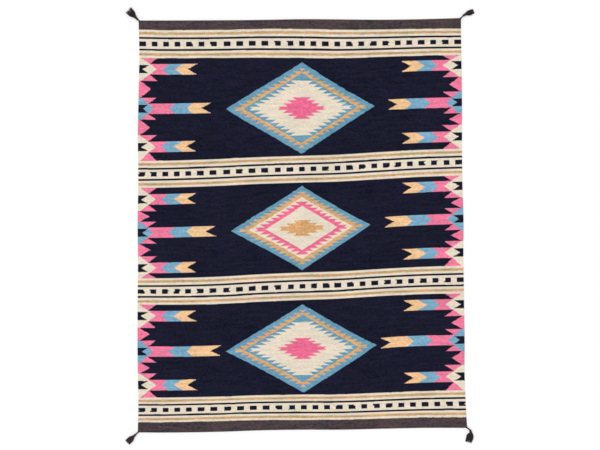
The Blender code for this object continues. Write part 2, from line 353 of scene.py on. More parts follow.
class RugClothSettings(bpy.types.PropertyGroup):
    """Sizes of the cloth as it lies."""

    width: bpy.props.FloatProperty(
        name="Width", description="Mean width of the cloth", default=1.219, subtype="DISTANCE", unit="LENGTH"
    )
    length: bpy.props.FloatProperty(
        name="Length",
        description="Mean length of the cloth",
        default=1.538,
        subtype="DISTANCE",
        unit="LENGTH",
    )
    thickness: bpy.props.FloatProperty(
        name="Thickness", description="Thickness over the ribs", default=0.0030, unit="LENGTH"
    )
    warps: bpy.props.IntProperty(
        name="Warps", description="Warp cords side by side, each of which shows as a rib", default=282, min=2
    )
    rows: bpy.props.IntProperty(
        name="Rows", description="Rows of faces along the cloth", default=66, min=8
    )
    rib_depth: bpy.props.FloatProperty(
        name="Rib Depth", description="Depth of the valley between two warps", default=0.0006, unit="LENGTH"
    )
    wave_depth: bpy.props.FloatProperty(
        name="Wave Depth", description="How far the beat of the weave lifts and sinks the face",
        default=0.0005, unit="LENGTH",
    )
    wave_size: bpy.props.FloatProperty(
        name="Wave Size", description="Size of the beat's waves", default=0.15, unit="LENGTH"
    )
    pick: bpy.props.FloatProperty(
        name="Pick", description="Length of warp that one bead of weft covers", default=0.0018, unit="LENGTH"
    )


class RugPatternSettings(bpy.types.PropertyGroup):
    """Sizes of the woven pattern as it was on the loom."""

    panel: bpy.props.FloatProperty(
        name="Panel", description="Length of a navy panel", default=0.352, unit="LENGTH"
    )
    band: bpy.props.FloatProperty(
        name="Band", description="Length of a cream band", default=0.101, unit="LENGTH"
    )
    arrow_spacing: bpy.props.FloatProperty(
        name="Arrow Spacing", description="From one arrow's middle to the next", default=0.1322, unit="LENGTH"
    )
    edge_triangle_at: bpy.props.FloatProperty(
        name="Edge Triangle", description="From a panel's middle to that of its edge triangle",
        default=0.0646, unit="LENGTH",
    )
    diamond_drop: bpy.props.FloatProperty(
        name="Diamond Drop", description="How far below its panel's middle the middle diamond lies",
        default=0.0017, unit="LENGTH",
    )
    outer_drop: bpy.props.FloatProperty(
        name="Outer Drop", description="How much farther down the other two diamonds lie",
        default=0.0026, unit="LENGTH",
    )
    square_width: bpy.props.FloatProperty(
        name="Square Width", description="Width of a small navy square", default=0.0236, unit="LENGTH"
    )
    square_length: bpy.props.FloatProperty(
        name="Square Length", description="Length of a small navy square", default=0.0172, unit="LENGTH"
    )
    squares: bpy.props.IntProperty(
        name="Squares", description="Squares in a band, from one edge of the cloth to the other", default=27
    )
    square_margin: bpy.props.FloatProperty(
        name="Square Margin", description="From the edge of the cloth to the first square",
        default=0.0012, unit="LENGTH",
    )
    line_at: bpy.props.FloatProperty(
        name="Line", description="From a band's middle to its thin navy line", default=0.0209, unit="LENGTH"
    )
    line_width: bpy.props.FloatProperty(
        name="Line Width", description="Width of the thin navy line", default=0.0072, unit="LENGTH"
    )
    stripe_at: bpy.props.FloatProperty(
        name="Stripe", description="From a band's middle to its tan stripe", default=0.0378, unit="LENGTH"
    )
    stripe_width: bpy.props.FloatProperty(
        name="Stripe Width", description="Width of the tan stripe", default=0.0090, unit="LENGTH"
    )
    wander_across: bpy.props.FloatProperty(
        name="Wander Across", description="How far a colour change strays across the warps",
        default=0.0016, unit="LENGTH",
    )
    wander_along: bpy.props.FloatProperty(
        name="Wander Along", description="How far a colour change strays along the warps",
        default=0.0004, unit="LENGTH",
    )


class RugYarnColours(bpy.types.PropertyGroup):
    """Dyes of the wool yarns."""

    navy: bpy.props.FloatVectorProperty(
        name="Navy", description="Ground of the panels", default=srgb("#17182B"), subtype="COLOR"
    )
    cream: bpy.props.FloatVectorProperty(
        name="Cream", description="Undyed wool of the bands", default=srgb("#E8DBC7"), subtype="COLOR"
    )
    tan: bpy.props.FloatVectorProperty(
        name="Tan", description="Rings and core of the diamonds", default=srgb("#D9A974"), subtype="COLOR"
    )
    gold: bpy.props.FloatVectorProperty(
        name="Gold", description="Tips of the arrows", default=srgb("#EFC494"), subtype="COLOR"
    )
    rose: bpy.props.FloatVectorProperty(
        name="Rose", description="Middles of the diamonds", default=srgb("#EC6D92"), subtype="COLOR"
    )
    pink: bpy.props.FloatVectorProperty(
        name="Pink", description="Shafts of the arrows and edge triangles", default=srgb("#EF7D9E"),
        subtype="COLOR",
    )
    blue: bpy.props.FloatVectorProperty(
        name="Blue", description="Rings of the diamonds", default=srgb("#699CB6"), subtype="COLOR"
    )
    brown: bpy.props.FloatVectorProperty(
        name="Brown", description="End bands and tassels", default=srgb("#4B3F42"), subtype="COLOR"
    )
    sand: bpy.props.FloatVectorProperty(
        name="Sand", description="Stripes of the cream bands", default=srgb("#C8A478"), subtype="COLOR"
    )
    sky: bpy.props.FloatVectorProperty(
        name="Sky", description="Paler blue of the arrows", default=srgb("#7CAAC5"), subtype="COLOR"
    )


class RugTasselSettings(bpy.types.PropertyGroup):
    """Yarns of the tassels."""

    strands: bpy.props.IntProperty(
        name="Strands", description="Yarns in a tassel's skirt", default=64, min=3
    )
    yarn_radius: bpy.props.FloatProperty(
        name="Yarn Radius", description="Radius of one plied yarn", default=0.00075, unit="LENGTH"
    )
    twist_pitch: bpy.props.FloatProperty(
        name="Twist Pitch",
        description="Length of one turn of a yarn's two plies",
        default=0.0055,
        unit="LENGTH",
    )
    neck_pitch: bpy.props.FloatProperty(
        name="Neck Pitch", description="Length of one turn of the neck's cord", default=0.011, unit="LENGTH"
    )
    wraps: bpy.props.IntProperty(
        name="Wraps", description="Turns of yarn round a tassel's head", default=5, min=1
    )


class RugStageSettings(bpy.types.PropertyGroup):
    """Studio round the rug."""

    lens: bpy.props.FloatProperty(
        name="Lens", description="Focal length in millimetres", default=100.0
    )
    view_width: bpy.props.FloatProperty(
        name="View Width", description="Width of floor in the picture", default=2.247, unit="LENGTH"
    )
    view_right: bpy.props.FloatProperty(
        name="View Right", description="How far right of the rug's middle the camera stands",
        default=-0.0039, unit="LENGTH",
    )
    view_up: bpy.props.FloatProperty(
        name="View Up", description="How far up the rug from its middle the camera stands",
        default=-0.0006, unit="LENGTH",
    )
    sky: bpy.props.FloatProperty(
        name="Sky", description="Strength of the light from all round", default=0.80
    )
    key: bpy.props.FloatProperty(
        name="Key", description="Strength of the soft light from the upper left", default=0.95
    )
    floor: bpy.props.FloatVectorProperty(
        name="Floor", description="Colour of the floor", default=srgb("#FBFBFB"), subtype="COLOR"
    )


def drift(rows, column, share):
    """Read a column of a table at a share of the way along it, as one smooth curve, in metres."""
    places = [row[0] for row in rows]
    values = [getattr(row, column) * MM for row in rows]
    share = min(max(share, 0.0), 1.0)
    last = len(rows) - 2
    at = next((k for k in range(last + 1) if share <= places[k + 1]), last)
    before = max(at - 1, 0)
    after = min(at + 2, last + 1)
    span = places[at + 1] - places[at]
    slope_in = (values[at + 1] - values[before]) / (places[at + 1] - places[before]) * span
    slope_out = (values[after] - values[at]) / (places[after] - places[at]) * span
    t = (share - places[at]) / span
    rise = t * t * (3.0 - 2.0 * t)
    bend_in = t * (1.0 - t) ** 2
    bend_out = -t * t * (1.0 - t)
    return values[at] + (values[at + 1] - values[at]) * rise + slope_in * bend_in + slope_out * bend_out


def on_sheet(across, along):
    """Place of a point of the cloth, from its shares of the width and the length."""
    cloth = bpy.context.scene.rug_cloth
    left = -cloth.width / 2 - drift(SIDES, "left", along)
    right = cloth.width / 2 + drift(SIDES, "right", along)
    lower = -cloth.length / 2 - drift(ENDS, "lower", across)
    upper = cloth.length / 2 + drift(ENDS, "upper", across)
    return Vector((left + (right - left) * across, lower + (upper - lower) * along, 0.0))


def loom_knots(across):
    """At a share of the width, places on the loom and the shares of the length where they came to lie."""
    cloth = bpy.context.scene.rug_cloth
    pattern = bpy.context.scene.rug_pattern
    repeat = pattern.panel + pattern.band
    tall = on_sheet(across, 1.0).y - on_sheet(across, 0.0).y
    inner = [repeat * panel + side * pattern.panel / 2 for panel in (-1, 0, 1) for side in (-1, 1)]
    ends = 1.5 * repeat + pattern.band / 2
    loom = [-cloth.length / 2, -ends] + inner + [ends, cloth.length / 2]
    heights = [drift(PICKS, name, across) for name in Picks._fields[1:]]
    lying = [0.0] + heights + [tall]
    knots = list(zip(loom, lying))
    middle_distance = min(across, 1.0 - across)
    hold = 1.0 - eased((middle_distance - SHIFT_HELD_TO) / (SHIFT_GONE_AT - SHIFT_HELD_TO))
    for arrow in ARROWS:
        centre = repeat * arrow.panel + pattern.arrow_spacing * arrow.place
        shift = (arrow.left if across < 0.5 else arrow.right) * MM
        unit = LONG_ARROW[2] if arrow.place == 0 else SHORT_ARROW[3]
        below = unit.start if arrow.place < 0 else unit.stop
        above = unit.start if arrow.place > 0 else unit.stop
        for distance in (-below * MM, above * MM):
            even = np.interp(centre + distance, loom, lying)
            woven = np.interp(centre, loom, lying) + shift + distance
            knots.append((centre + distance, even + (woven - even) * hold))
    knots.sort()
    return [knot[0] for knot in knots], [knot[1] / tall for knot in knots]


def build_sheet_mesh():
    """The cloth as one closed sheet: ribbed face, rounded rim and flat underside, with its loom map."""
    cloth = bpy.context.scene.rug_cloth
    columns = cloth.warps * RIB_CELLS
    edge = RIM_PROFILE[0].inset / cloth.width
    shares = [edge + (1.0 - 2.0 * edge) * k / columns for k in range(columns + 1)]
    knots = [loom_knots(share) for share in shares]
    end = RIM_PROFILE[0].inset / cloth.length
    even = np.linspace(-cloth.length / 2, cloth.length / 2, cloth.rows + 1)[1:-1]
    marks = knots[0][0][1:-1]
    free = [place for place in even if min(abs(place - mark) for mark in marks) > ROW_CLEARANCE]
    lines = [None] + sorted(free + marks) + [None]
    rows = len(lines) - 1
    mesh_data = bmesh.new()
    loom = mesh_data.verts.layers.float_vector.new("loom_place")
    crown = mesh_data.verts.layers.float.new("crown")

    def point(column, share_along, place_along, height, lift):
        """Add a point of the sheet at a mesh column and a share of the length."""
        place = on_sheet(shares[column], share_along)
        made = mesh_data.verts.new((place.x, place.y, height))
        made[loom] = ((shares[column] - 0.5) * cloth.width, place_along, 0.0)
        made[crown] = lift
        return made

    face = []
    under = []
    for row, line in enumerate(lines):
        upper_row = []
        lower_row = []
        for column in range(columns + 1):
            loom_places, lying = knots[column]
            if row == 0:
                share_along = end
            elif row == rows:
                share_along = 1.0 - end
            else:
                share_along = float(np.interp(line, loom_places, lying))
            place_along = line if line is not None else float(np.interp(share_along, lying, loom_places))
            on_edge = row in (0, rows) or column in (0, columns)
            height = cloth.thickness * (RIM_PROFILE[0].height if on_edge else 1.0)
            upper_row.append(point(column, share_along, place_along, height, 0.0 if on_edge else 1.0))
            if on_edge or column % RIB_CELLS == 0:
                lower_row.append(point(column, share_along, place_along, 0.0, 0.0))
            else:
                lower_row.append(None)
        face.append(upper_row)
        under.append(lower_row)
    for row in range(rows):
        for column in range(columns):
            mesh_data.faces.new(
                (face[row][column], face[row][column + 1], face[row + 1][column + 1], face[row + 1][column])
            )
        for column in range(0, columns, RIB_CELLS):
            after = under[row + 1][column:column + RIB_CELLS + 1]
            before = under[row][column:column + RIB_CELLS + 1]
            corners = [part for part in after + before[::-1] if part is not None]
            mesh_data.faces.new(corners)
    border = [(0, column) for column in range(columns)]
    border += [(row, columns) for row in range(rows)]
    border += [(rows, column) for column in range(columns, 0, -1)]
    border += [(row, 0) for row in range(rows, 0, -1)]
    rings = [[face[row][column] for row, column in border]]
    for level in RIM_PROFILE[1:-1]:
        ring = []
        for k, (row, column) in enumerate(border):
            before = rings[0][k - 1].co
            after = rings[0][(k + 1) % len(border)].co
            course = after - before
            outward = Vector((course.y, -course.x, 0.0)).normalized()
            base = rings[0][k]
            reach = RIM_PROFILE[0].inset - level.inset
            made = mesh_data.verts.new(base.co + outward * reach)
            made.co.z = cloth.thickness * level.height
            made[loom] = base[loom]
            made[crown] = 0.0
            ring.append(made)
        rings.append(ring)
    rings.append([under[row][column] for row, column in border])
    for outer, inner in zip(rings, rings[1:]):
        for k in range(len(border)):
            after = (k + 1) % len(border)
            mesh_data.faces.new((outer[k], inner[k], inner[after], outer[after]))
    bmesh.ops.recalc_face_normals(mesh_data, faces=mesh_data.faces[:])
    map_loom = mesh_data.loops.layers.uv.new("loom")
    map_bake = mesh_data.loops.layers.uv.new("OFBake")
    scale = 1.0 / (cloth.length + BAKE_MARGIN)
    for part in mesh_data.faces:
        for corner in part.loops:
            place = corner.vert[loom]
            corner[map_loom].uv = (place.x, place.y)
            corner[map_bake].uv = (0.5 + corner.vert.co.x * scale, 0.5 + corner.vert.co.y * scale)
    mesh = bpy.data.meshes.new("tapestry_cloth")
    mesh_data.to_mesh(mesh)
    mesh_data.free()
    return mesh


def relief_tree(material):
    """Node tree that raises the ribs of the warps and the uneven beat on the sheet's face."""
    tree = bpy.data.node_groups.new("woven_relief", "GeometryNodeTree")
    face = tree.interface
    face.new_socket("Geometry", in_out="INPUT", socket_type="NodeSocketGeometry")
    for name in ("Rib Pitch", "Rib Depth", "Wave Depth", "Wave Size"):
        face.new_socket(name, in_out="INPUT", socket_type="NodeSocketFloat")
    face.new_socket("Geometry", in_out="OUTPUT", socket_type="NodeSocketGeometry")
    sizes = add(tree, "NodeGroupInput").outputs
    place = add(tree, "GeometryNodeInputNamedAttribute", {"Name": "loom_place"}, data_type="FLOAT_VECTOR")
    crown = add(tree, "GeometryNodeInputNamedAttribute", {"Name": "crown"}, data_type="FLOAT")
    across = add(tree, "ShaderNodeSeparateXYZ", {0: place.outputs[0]}).outputs["X"]
    turn = add(tree, "ShaderNodeMath", {0: across, 1: sizes["Rib Pitch"]}, operation="DIVIDE")
    half_turn = add(tree, "ShaderNodeMath", {0: turn.outputs[0], 1: math.pi}, operation="MULTIPLY")
    swing = add(tree, "ShaderNodeMath", {0: half_turn.outputs[0]}, operation="SINE")
    rib = add(tree, "ShaderNodeMath", {0: swing.outputs[0]}, operation="ABSOLUTE")
    sunk = add(tree, "ShaderNodeMath", {0: rib.outputs[0], 1: 1.0}, operation="SUBTRACT")
    valley = add(tree, "ShaderNodeMath", {0: sunk.outputs[0], 1: sizes["Rib Depth"]}, operation="MULTIPLY")
    often = add(tree, "ShaderNodeMath", {0: 1.0, 1: sizes["Wave Size"]}, operation="DIVIDE")
    beat = add(
        tree, "ShaderNodeTexNoise", {"Vector": place.outputs[0], "Scale": often.outputs[0], "Detail": 2.0}
    )
    level = add(tree, "ShaderNodeMath", {0: beat.outputs[0], 1: 1.0}, operation="SUBTRACT")
    wave = add(tree, "ShaderNodeMath", {0: level.outputs[0], 1: sizes["Wave Depth"]}, operation="MULTIPLY")
    both = add(tree, "ShaderNodeMath", {0: valley.outputs[0], 1: wave.outputs[0]}, operation="ADD")
    held = add(tree, "ShaderNodeMath", {0: both.outputs[0], 1: crown.outputs[0]}, operation="MULTIPLY")
    lift = add(tree, "ShaderNodeCombineXYZ", {"Z": held.outputs[0]})
    moved = add(
        tree, "GeometryNodeSetPosition", {"Geometry": sizes["Geometry"], "Offset": lift.outputs[0]}
    )
    smooth = add(tree, "GeometryNodeSetShadeSmooth", {"Geometry": moved.outputs[0]})
    real = add(tree, "GeometryNodeRealizeInstances", {"Geometry": smooth.outputs[0]})
    dyed = add(tree, "GeometryNodeSetMaterial", {"Geometry": real.outputs[0], "Material": material})
    add(tree, "NodeGroupOutput", {0: dyed.outputs[0]})
    return tree


def made_plain(item, tree, values):
    """Run a node tree on an object with the given inputs, and keep the result as the object's plain mesh."""
    modifier = item.modifiers.new("shape", "NODES")
    modifier.node_group = tree
    for socket in tree.interface.items_tree:
        if socket.item_type == "SOCKET" and socket.in_out == "INPUT" and socket.name in values:
            modifier[socket.identifier] = values[socket.name]
    bpy.context.view_layer.update()
    evaluated = item.evaluated_get(bpy.context.evaluated_depsgraph_get())
    mesh = bpy.data.meshes.new_from_object(evaluated)
    item.modifiers.remove(modifier)
    raw = item.data
    item.data = mesh
    bpy.data.meshes.remove(raw)
    mesh.name = item.name
    return item


def figure_group():
    """Shader group that lays one figure of the pattern over the yarns so far."""
    tree = bpy.data.node_groups.new("woven_figure", "ShaderNodeTree")
    names = (
        "Below", "Across", "Along", "Start", "Stop", "Reach", "Slope", "Tooth", "Fall", "Pitch", "Yarn"
    )
    for name in names:
        tree.interface.new_socket(name, in_out="INPUT", socket_type="NodeSocketFloat")
    tree.interface.new_socket("Yarn", in_out="OUTPUT", socket_type="NodeSocketFloat")
    given = add(tree, "NodeGroupInput").outputs
    border = add(
        tree, "ShaderNodeMath", {0: given["Along"], 1: given["Slope"], 2: given["Reach"]},
        operation="MULTIPLY_ADD",
    )
    depth = add(tree, "ShaderNodeMath", {0: given["Stop"], 1: given["Along"]}, operation="SUBTRACT")
    step = add(tree, "ShaderNodeMath", {0: depth.outputs[0], 1: given["Pitch"]}, operation="FLOORED_MODULO")
    tooth = add(
        tree, "ShaderNodeMath", {0: step.outputs[0], 1: given["Fall"], 2: given["Tooth"]},
        operation="MULTIPLY_ADD",
    )
    edge = add(tree, "ShaderNodeMath", {0: border.outputs[0], 1: tooth.outputs[0]}, operation="ADD")
    inside = add(tree, "ShaderNodeMath", {0: given["Across"], 1: edge.outputs[0]}, operation="LESS_THAN")
    before = add(tree, "ShaderNodeMath", {0: given["Along"], 1: given["Stop"]}, operation="LESS_THAN")
    past = add(tree, "ShaderNodeMath", {0: given["Along"], 1: given["Start"]}, operation="GREATER_THAN")
    within = add(tree, "ShaderNodeMath", {0: before.outputs[0], 1: past.outputs[0]}, operation="MULTIPLY")
    mask = add(tree, "ShaderNodeMath", {0: inside.outputs[0], 1: within.outputs[0]}, operation="MULTIPLY")
    laid = add(
        tree, "ShaderNodeMix", {0: mask.outputs[0], 2: given["Below"], 3: given["Yarn"]}, data_type="FLOAT"
    )
    add(tree, "NodeGroupOutput", {0: laid.outputs[0]})
    return tree


def lay_figure(tree, group, below, across, along, figure, reach=None):
    """Lay a figure over the yarns so far, counted across and along from the lines that the sockets give."""
    slope = (figure.reach_stop - figure.reach_start) / (figure.stop - figure.start)
    values = {
        "Below": below,
        "Across": across,
        "Along": along,
        "Start": figure.start * MM if figure.start else -1.0,
        "Stop": figure.stop * MM,
        "Reach": reach if reach is not None else (figure.reach_start - slope * figure.start) * MM,
        "Slope": slope,
        "Tooth": figure.tooth * MM,
        "Fall": -2.0 * figure.tooth / figure.pitch if figure.pitch else 0.0,
        "Pitch": figure.pitch * MM,
        "Yarn": float(figure.yarn),
    }
    return add(tree, "ShaderNodeGroup", values, node_tree=group).outputs[0]


def loom_place(tree):
    """Sockets of the place on the loom, the bead there by number, its row with fraction, and the place at
    which the pattern is read for the whole bead, across and along."""
    cloth = bpy.context.scene.rug_cloth
    pattern = bpy.context.scene.rug_pattern
    pitch = cloth.width / cloth.warps
    place = add(tree, "ShaderNodeUVMap", uv_map="loom").outputs["UV"]
    split = add(tree, "ShaderNodeSeparateXYZ", {0: place})
    turn = add(tree, "ShaderNodeMath", {0: split.outputs["X"], 1: pitch}, operation="DIVIDE")
    warp = add(tree, "ShaderNodeMath", {0: turn.outputs[0]}, operation="FLOOR").outputs[0]
    half = add(tree, "ShaderNodeMath", {0: warp, 1: 0.5}, operation="MULTIPLY").outputs[0]
    row = add(
        tree, "ShaderNodeMath", {0: split.outputs["Y"], 1: 1.0 / cloth.pick, 2: half},
        operation="MULTIPLY_ADD",
    ).outputs[0]
    whole = add(tree, "ShaderNodeMath", {0: row}, operation="FLOOR").outputs[0]
    level = add(tree, "ShaderNodeMath", {0: whole, 1: half}, operation="SUBTRACT").outputs[0]
    bead = add(tree, "ShaderNodeCombineXYZ", {"X": warp, "Y": whole}).outputs[0]
    corner = add(tree, "ShaderNodeCombineXYZ", {"X": warp, "Y": level}).outputs[0]
    middle = add(
        tree, "ShaderNodeVectorMath",
        {0: corner, 1: (pitch, cloth.pick, 0.0), 2: (pitch / 2, cloth.pick / 2, 0.0)},
        operation="MULTIPLY_ADD",
    ).outputs[0]
    near = add(tree, "ShaderNodeMapping", {"Vector": middle, "Scale": STRAY_SCALE}).outputs[0]
    stray = add(
        tree, "ShaderNodeTexNoise", {"Vector": near, "Scale": 1.0, "Detail": 2.0, "Roughness": 0.6},
        noise_dimensions="2D",
    )
    swing = add(
        tree, "ShaderNodeVectorMath", {0: stray.outputs["Color"], 1: (0.5, 0.5, 0.5)}, operation="SUBTRACT"
    )
    reach = (pattern.wander_across * 4.0, pattern.wander_along * 4.0, 0.0)
    strayed = add(
        tree, "ShaderNodeVectorMath", {0: swing.outputs[0], 1: reach, 2: middle}, operation="MULTIPLY_ADD"
    )
    read_at = add(tree, "ShaderNodeSeparateXYZ", {0: strayed.outputs[0]})
    return place, bead, row, read_at.outputs["X"], read_at.outputs["Y"]


def evened(tree, across):
    """Socket of the place across, drawn back to what it would be if the warps were evenly spaced."""
    width = bpy.context.scene.rug_cloth.width
    share = add(
        tree, "ShaderNodeMath", {0: across, 1: 1.0 / width, 2: 0.5}, operation="MULTIPLY_ADD"
    ).outputs[0]
    node = add(tree, "ShaderNodeFloatCurve", {"Value": share})
    points = node.mapping.curves[0].points
    while len(points) < len(WARP_SHIFTS):
        points.new(0.5, 0.5)
    for point, shift in zip(points, WARP_SHIFTS):
        point.location = (shift.across, 0.5 - shift.right / SHIFT_RANGE)
    node.mapping.update()
    back = add(tree, "ShaderNodeMath", {0: node.outputs[0], 1: 0.5}, operation="SUBTRACT").outputs[0]
    return add(
        tree, "ShaderNodeMath", {0: back, 1: SHIFT_RANGE * MM, 2: across}, operation="MULTIPLY_ADD"
    ).outputs[0]


def woven_pattern(tree):
    """Build the pattern's nodes: sockets of the loom place, the bead, its row, and the yarn's number."""
    cloth = bpy.context.scene.rug_cloth
    pattern = bpy.context.scene.rug_pattern
    place, bead, row, across, along = loom_place(tree)
    repeat = pattern.panel + pattern.band
    spaced = evened(tree, across)
    from_middle = add(tree, "ShaderNodeMath", {0: spaced}, operation="ABSOLUTE").outputs[0]
    from_edge = add(
        tree, "ShaderNodeMath", {0: cloth.width / 2, 1: from_middle}, operation="SUBTRACT"
    ).outputs[0]
    count = add(tree, "ShaderNodeMath", {0: along, 1: repeat}, operation="DIVIDE").outputs[0]
    panel = add(tree, "ShaderNodeMath", {0: count}, operation="ROUND").outputs[0]
    height = add(
        tree, "ShaderNodeMath", {0: panel, 1: -repeat, 2: along}, operation="MULTIPLY_ADD"
    ).outputs[0]
    from_panel = add(tree, "ShaderNodeMath", {0: height}, operation="ABSOLUTE").outputs[0]
    from_short = add(
        tree, "ShaderNodeMath", {0: from_panel, 1: pattern.arrow_spacing}, operation="SUBTRACT"
    ).outputs[0]
    from_short = add(tree, "ShaderNodeMath", {0: from_short}, operation="ABSOLUTE").outputs[0]
    from_triangle = add(
        tree, "ShaderNodeMath", {0: from_panel, 1: pattern.edge_triangle_at}, operation="SUBTRACT"
    ).outputs[0]
    from_triangle = add(tree, "ShaderNodeMath", {0: from_triangle}, operation="ABSOLUTE").outputs[0]
    is_outer = add(tree, "ShaderNodeMath", {0: panel}, operation="ABSOLUTE").outputs[0]
    drop = add(
        tree, "ShaderNodeMath", {0: is_outer, 1: pattern.outer_drop, 2: pattern.diamond_drop},
        operation="MULTIPLY_ADD",
    ).outputs[0]
    from_diamond = add(tree, "ShaderNodeMath", {0: height, 1: drop}, operation="ADD").outputs[0]
    from_diamond = add(tree, "ShaderNodeMath", {0: from_diamond}, operation="ABSOLUTE").outputs[0]
    from_middle_diamond = add(
        tree, "ShaderNodeMath", {0: is_outer, 1: FAR, 2: from_diamond}, operation="MULTIPLY_ADD"
    ).outputs[0]
    is_middle = add(tree, "ShaderNodeMath", {0: is_outer, 1: 0.5}, operation="LESS_THAN").outputs[0]
    from_outer_diamond = add(
        tree, "ShaderNodeMath", {0: is_middle, 1: FAR, 2: from_diamond}, operation="MULTIPLY_ADD"
    ).outputs[0]
    group = figure_group()
    yarn = float(NAVY)
    yarn = lay_figure(tree, group, yarn, from_edge, from_triangle, EDGE_TRIANGLE)
    tip_slope = (LONG_TIP.reach_stop - LONG_TIP.reach_start) / (LONG_TIP.stop - LONG_TIP.start)
    tip_reach = add(
        tree, "ShaderNodeMath",
        {0: panel, 1: -LONG_TIP_GROWTH * MM, 2: (LONG_TIP.reach_start - tip_slope * LONG_TIP.start) * MM},
        operation="MULTIPLY_ADD",
    ).outputs[0]
    yarn = lay_figure(tree, group, yarn, from_edge, from_panel, LONG_TIP, tip_reach)
    for figure in LONG_ARROW:
        yarn = lay_figure(tree, group, yarn, from_edge, from_panel, figure)
    for figure in SHORT_ARROW:
        yarn = lay_figure(tree, group, yarn, from_edge, from_short, figure)
    for figure in OUTER_DIAMOND:
        yarn = lay_figure(tree, group, yarn, from_middle, from_outer_diamond, figure)
    for figure in MIDDLE_DIAMOND:
        yarn = lay_figure(tree, group, yarn, from_middle, from_middle_diamond, figure)
    from_band = add(
        tree, "ShaderNodeMath", {0: repeat / 2, 1: from_panel}, operation="SUBTRACT"
    ).outputs[0]
    square_pitch = (cloth.width - pattern.square_width - 2 * pattern.square_margin) / (pattern.squares - 1)
    place_in_row = add(tree, "ShaderNodeMath", {0: spaced, 1: square_pitch}, operation="DIVIDE").outputs[0]
    nearest = add(tree, "ShaderNodeMath", {0: place_in_row}, operation="ROUND").outputs[0]
    from_square = add(
        tree, "ShaderNodeMath", {0: nearest, 1: -square_pitch, 2: spaced}, operation="MULTIPLY_ADD"
    ).outputs[0]
    from_square = add(tree, "ShaderNodeMath", {0: from_square}, operation="ABSOLUTE").outputs[0]
    whole = cloth.width / MM
    line = (pattern.line_at / MM, pattern.line_width / 2 / MM)
    stripe = (pattern.stripe_at / MM, pattern.stripe_width / 2 / MM)
    band_figures = [
        (from_middle, Figure(CREAM, 0.0, pattern.band / 2 / MM, whole, whole, 0.0, 0.0)),
        (from_middle, Figure(SAND, stripe[0] - stripe[1], stripe[0] + stripe[1], whole, whole, 0.0, 0.0)),
        (from_middle, Figure(NAVY, line[0] - line[1], line[0] + line[1], whole, whole, 0.0, 0.0)),
    ]
    square_half = pattern.square_width / 2 / MM
    square = Figure(NAVY, 0.0, pattern.square_length / 2 / MM, square_half, square_half, 0.0, 0.0)
    band_figures.append((from_square, square))
    for line_from, figure in band_figures:
        yarn = lay_figure(tree, group, yarn, line_from, from_band, figure)
    to_end = add(tree, "ShaderNodeMath", {0: along}, operation="ABSOLUTE").outputs[0]
    end_from = (1.5 * repeat + pattern.band / 2) / MM
    end_band = Figure(BROWN, end_from, cloth.length / MM, whole, whole, 0.0, 0.0)
    yarn = lay_figure(tree, group, yarn, from_middle, to_end, end_band)
    return place, bead, row, yarn


def yarn_ramp(tree, yarn, colours):
    """Map the yarn's number to one of the colours."""
    share = add(
        tree, "ShaderNodeMath", {0: yarn, 1: 1.0 / len(YARNS), 2: 0.5 / len(YARNS)}, operation="MULTIPLY_ADD"
    )
    node = add(tree, "ShaderNodeValToRGB", {0: share.outputs[0]})
    ramp = node.color_ramp
    ramp.interpolation = "CONSTANT"
    while len(ramp.elements) < len(colours):
        ramp.elements.new(0.999)
    for k, colour in enumerate(colours):
        ramp.elements[k].position = k / len(YARNS)
        ramp.elements[k].color = (*colour, 1.0)
    return node.outputs["Color"]


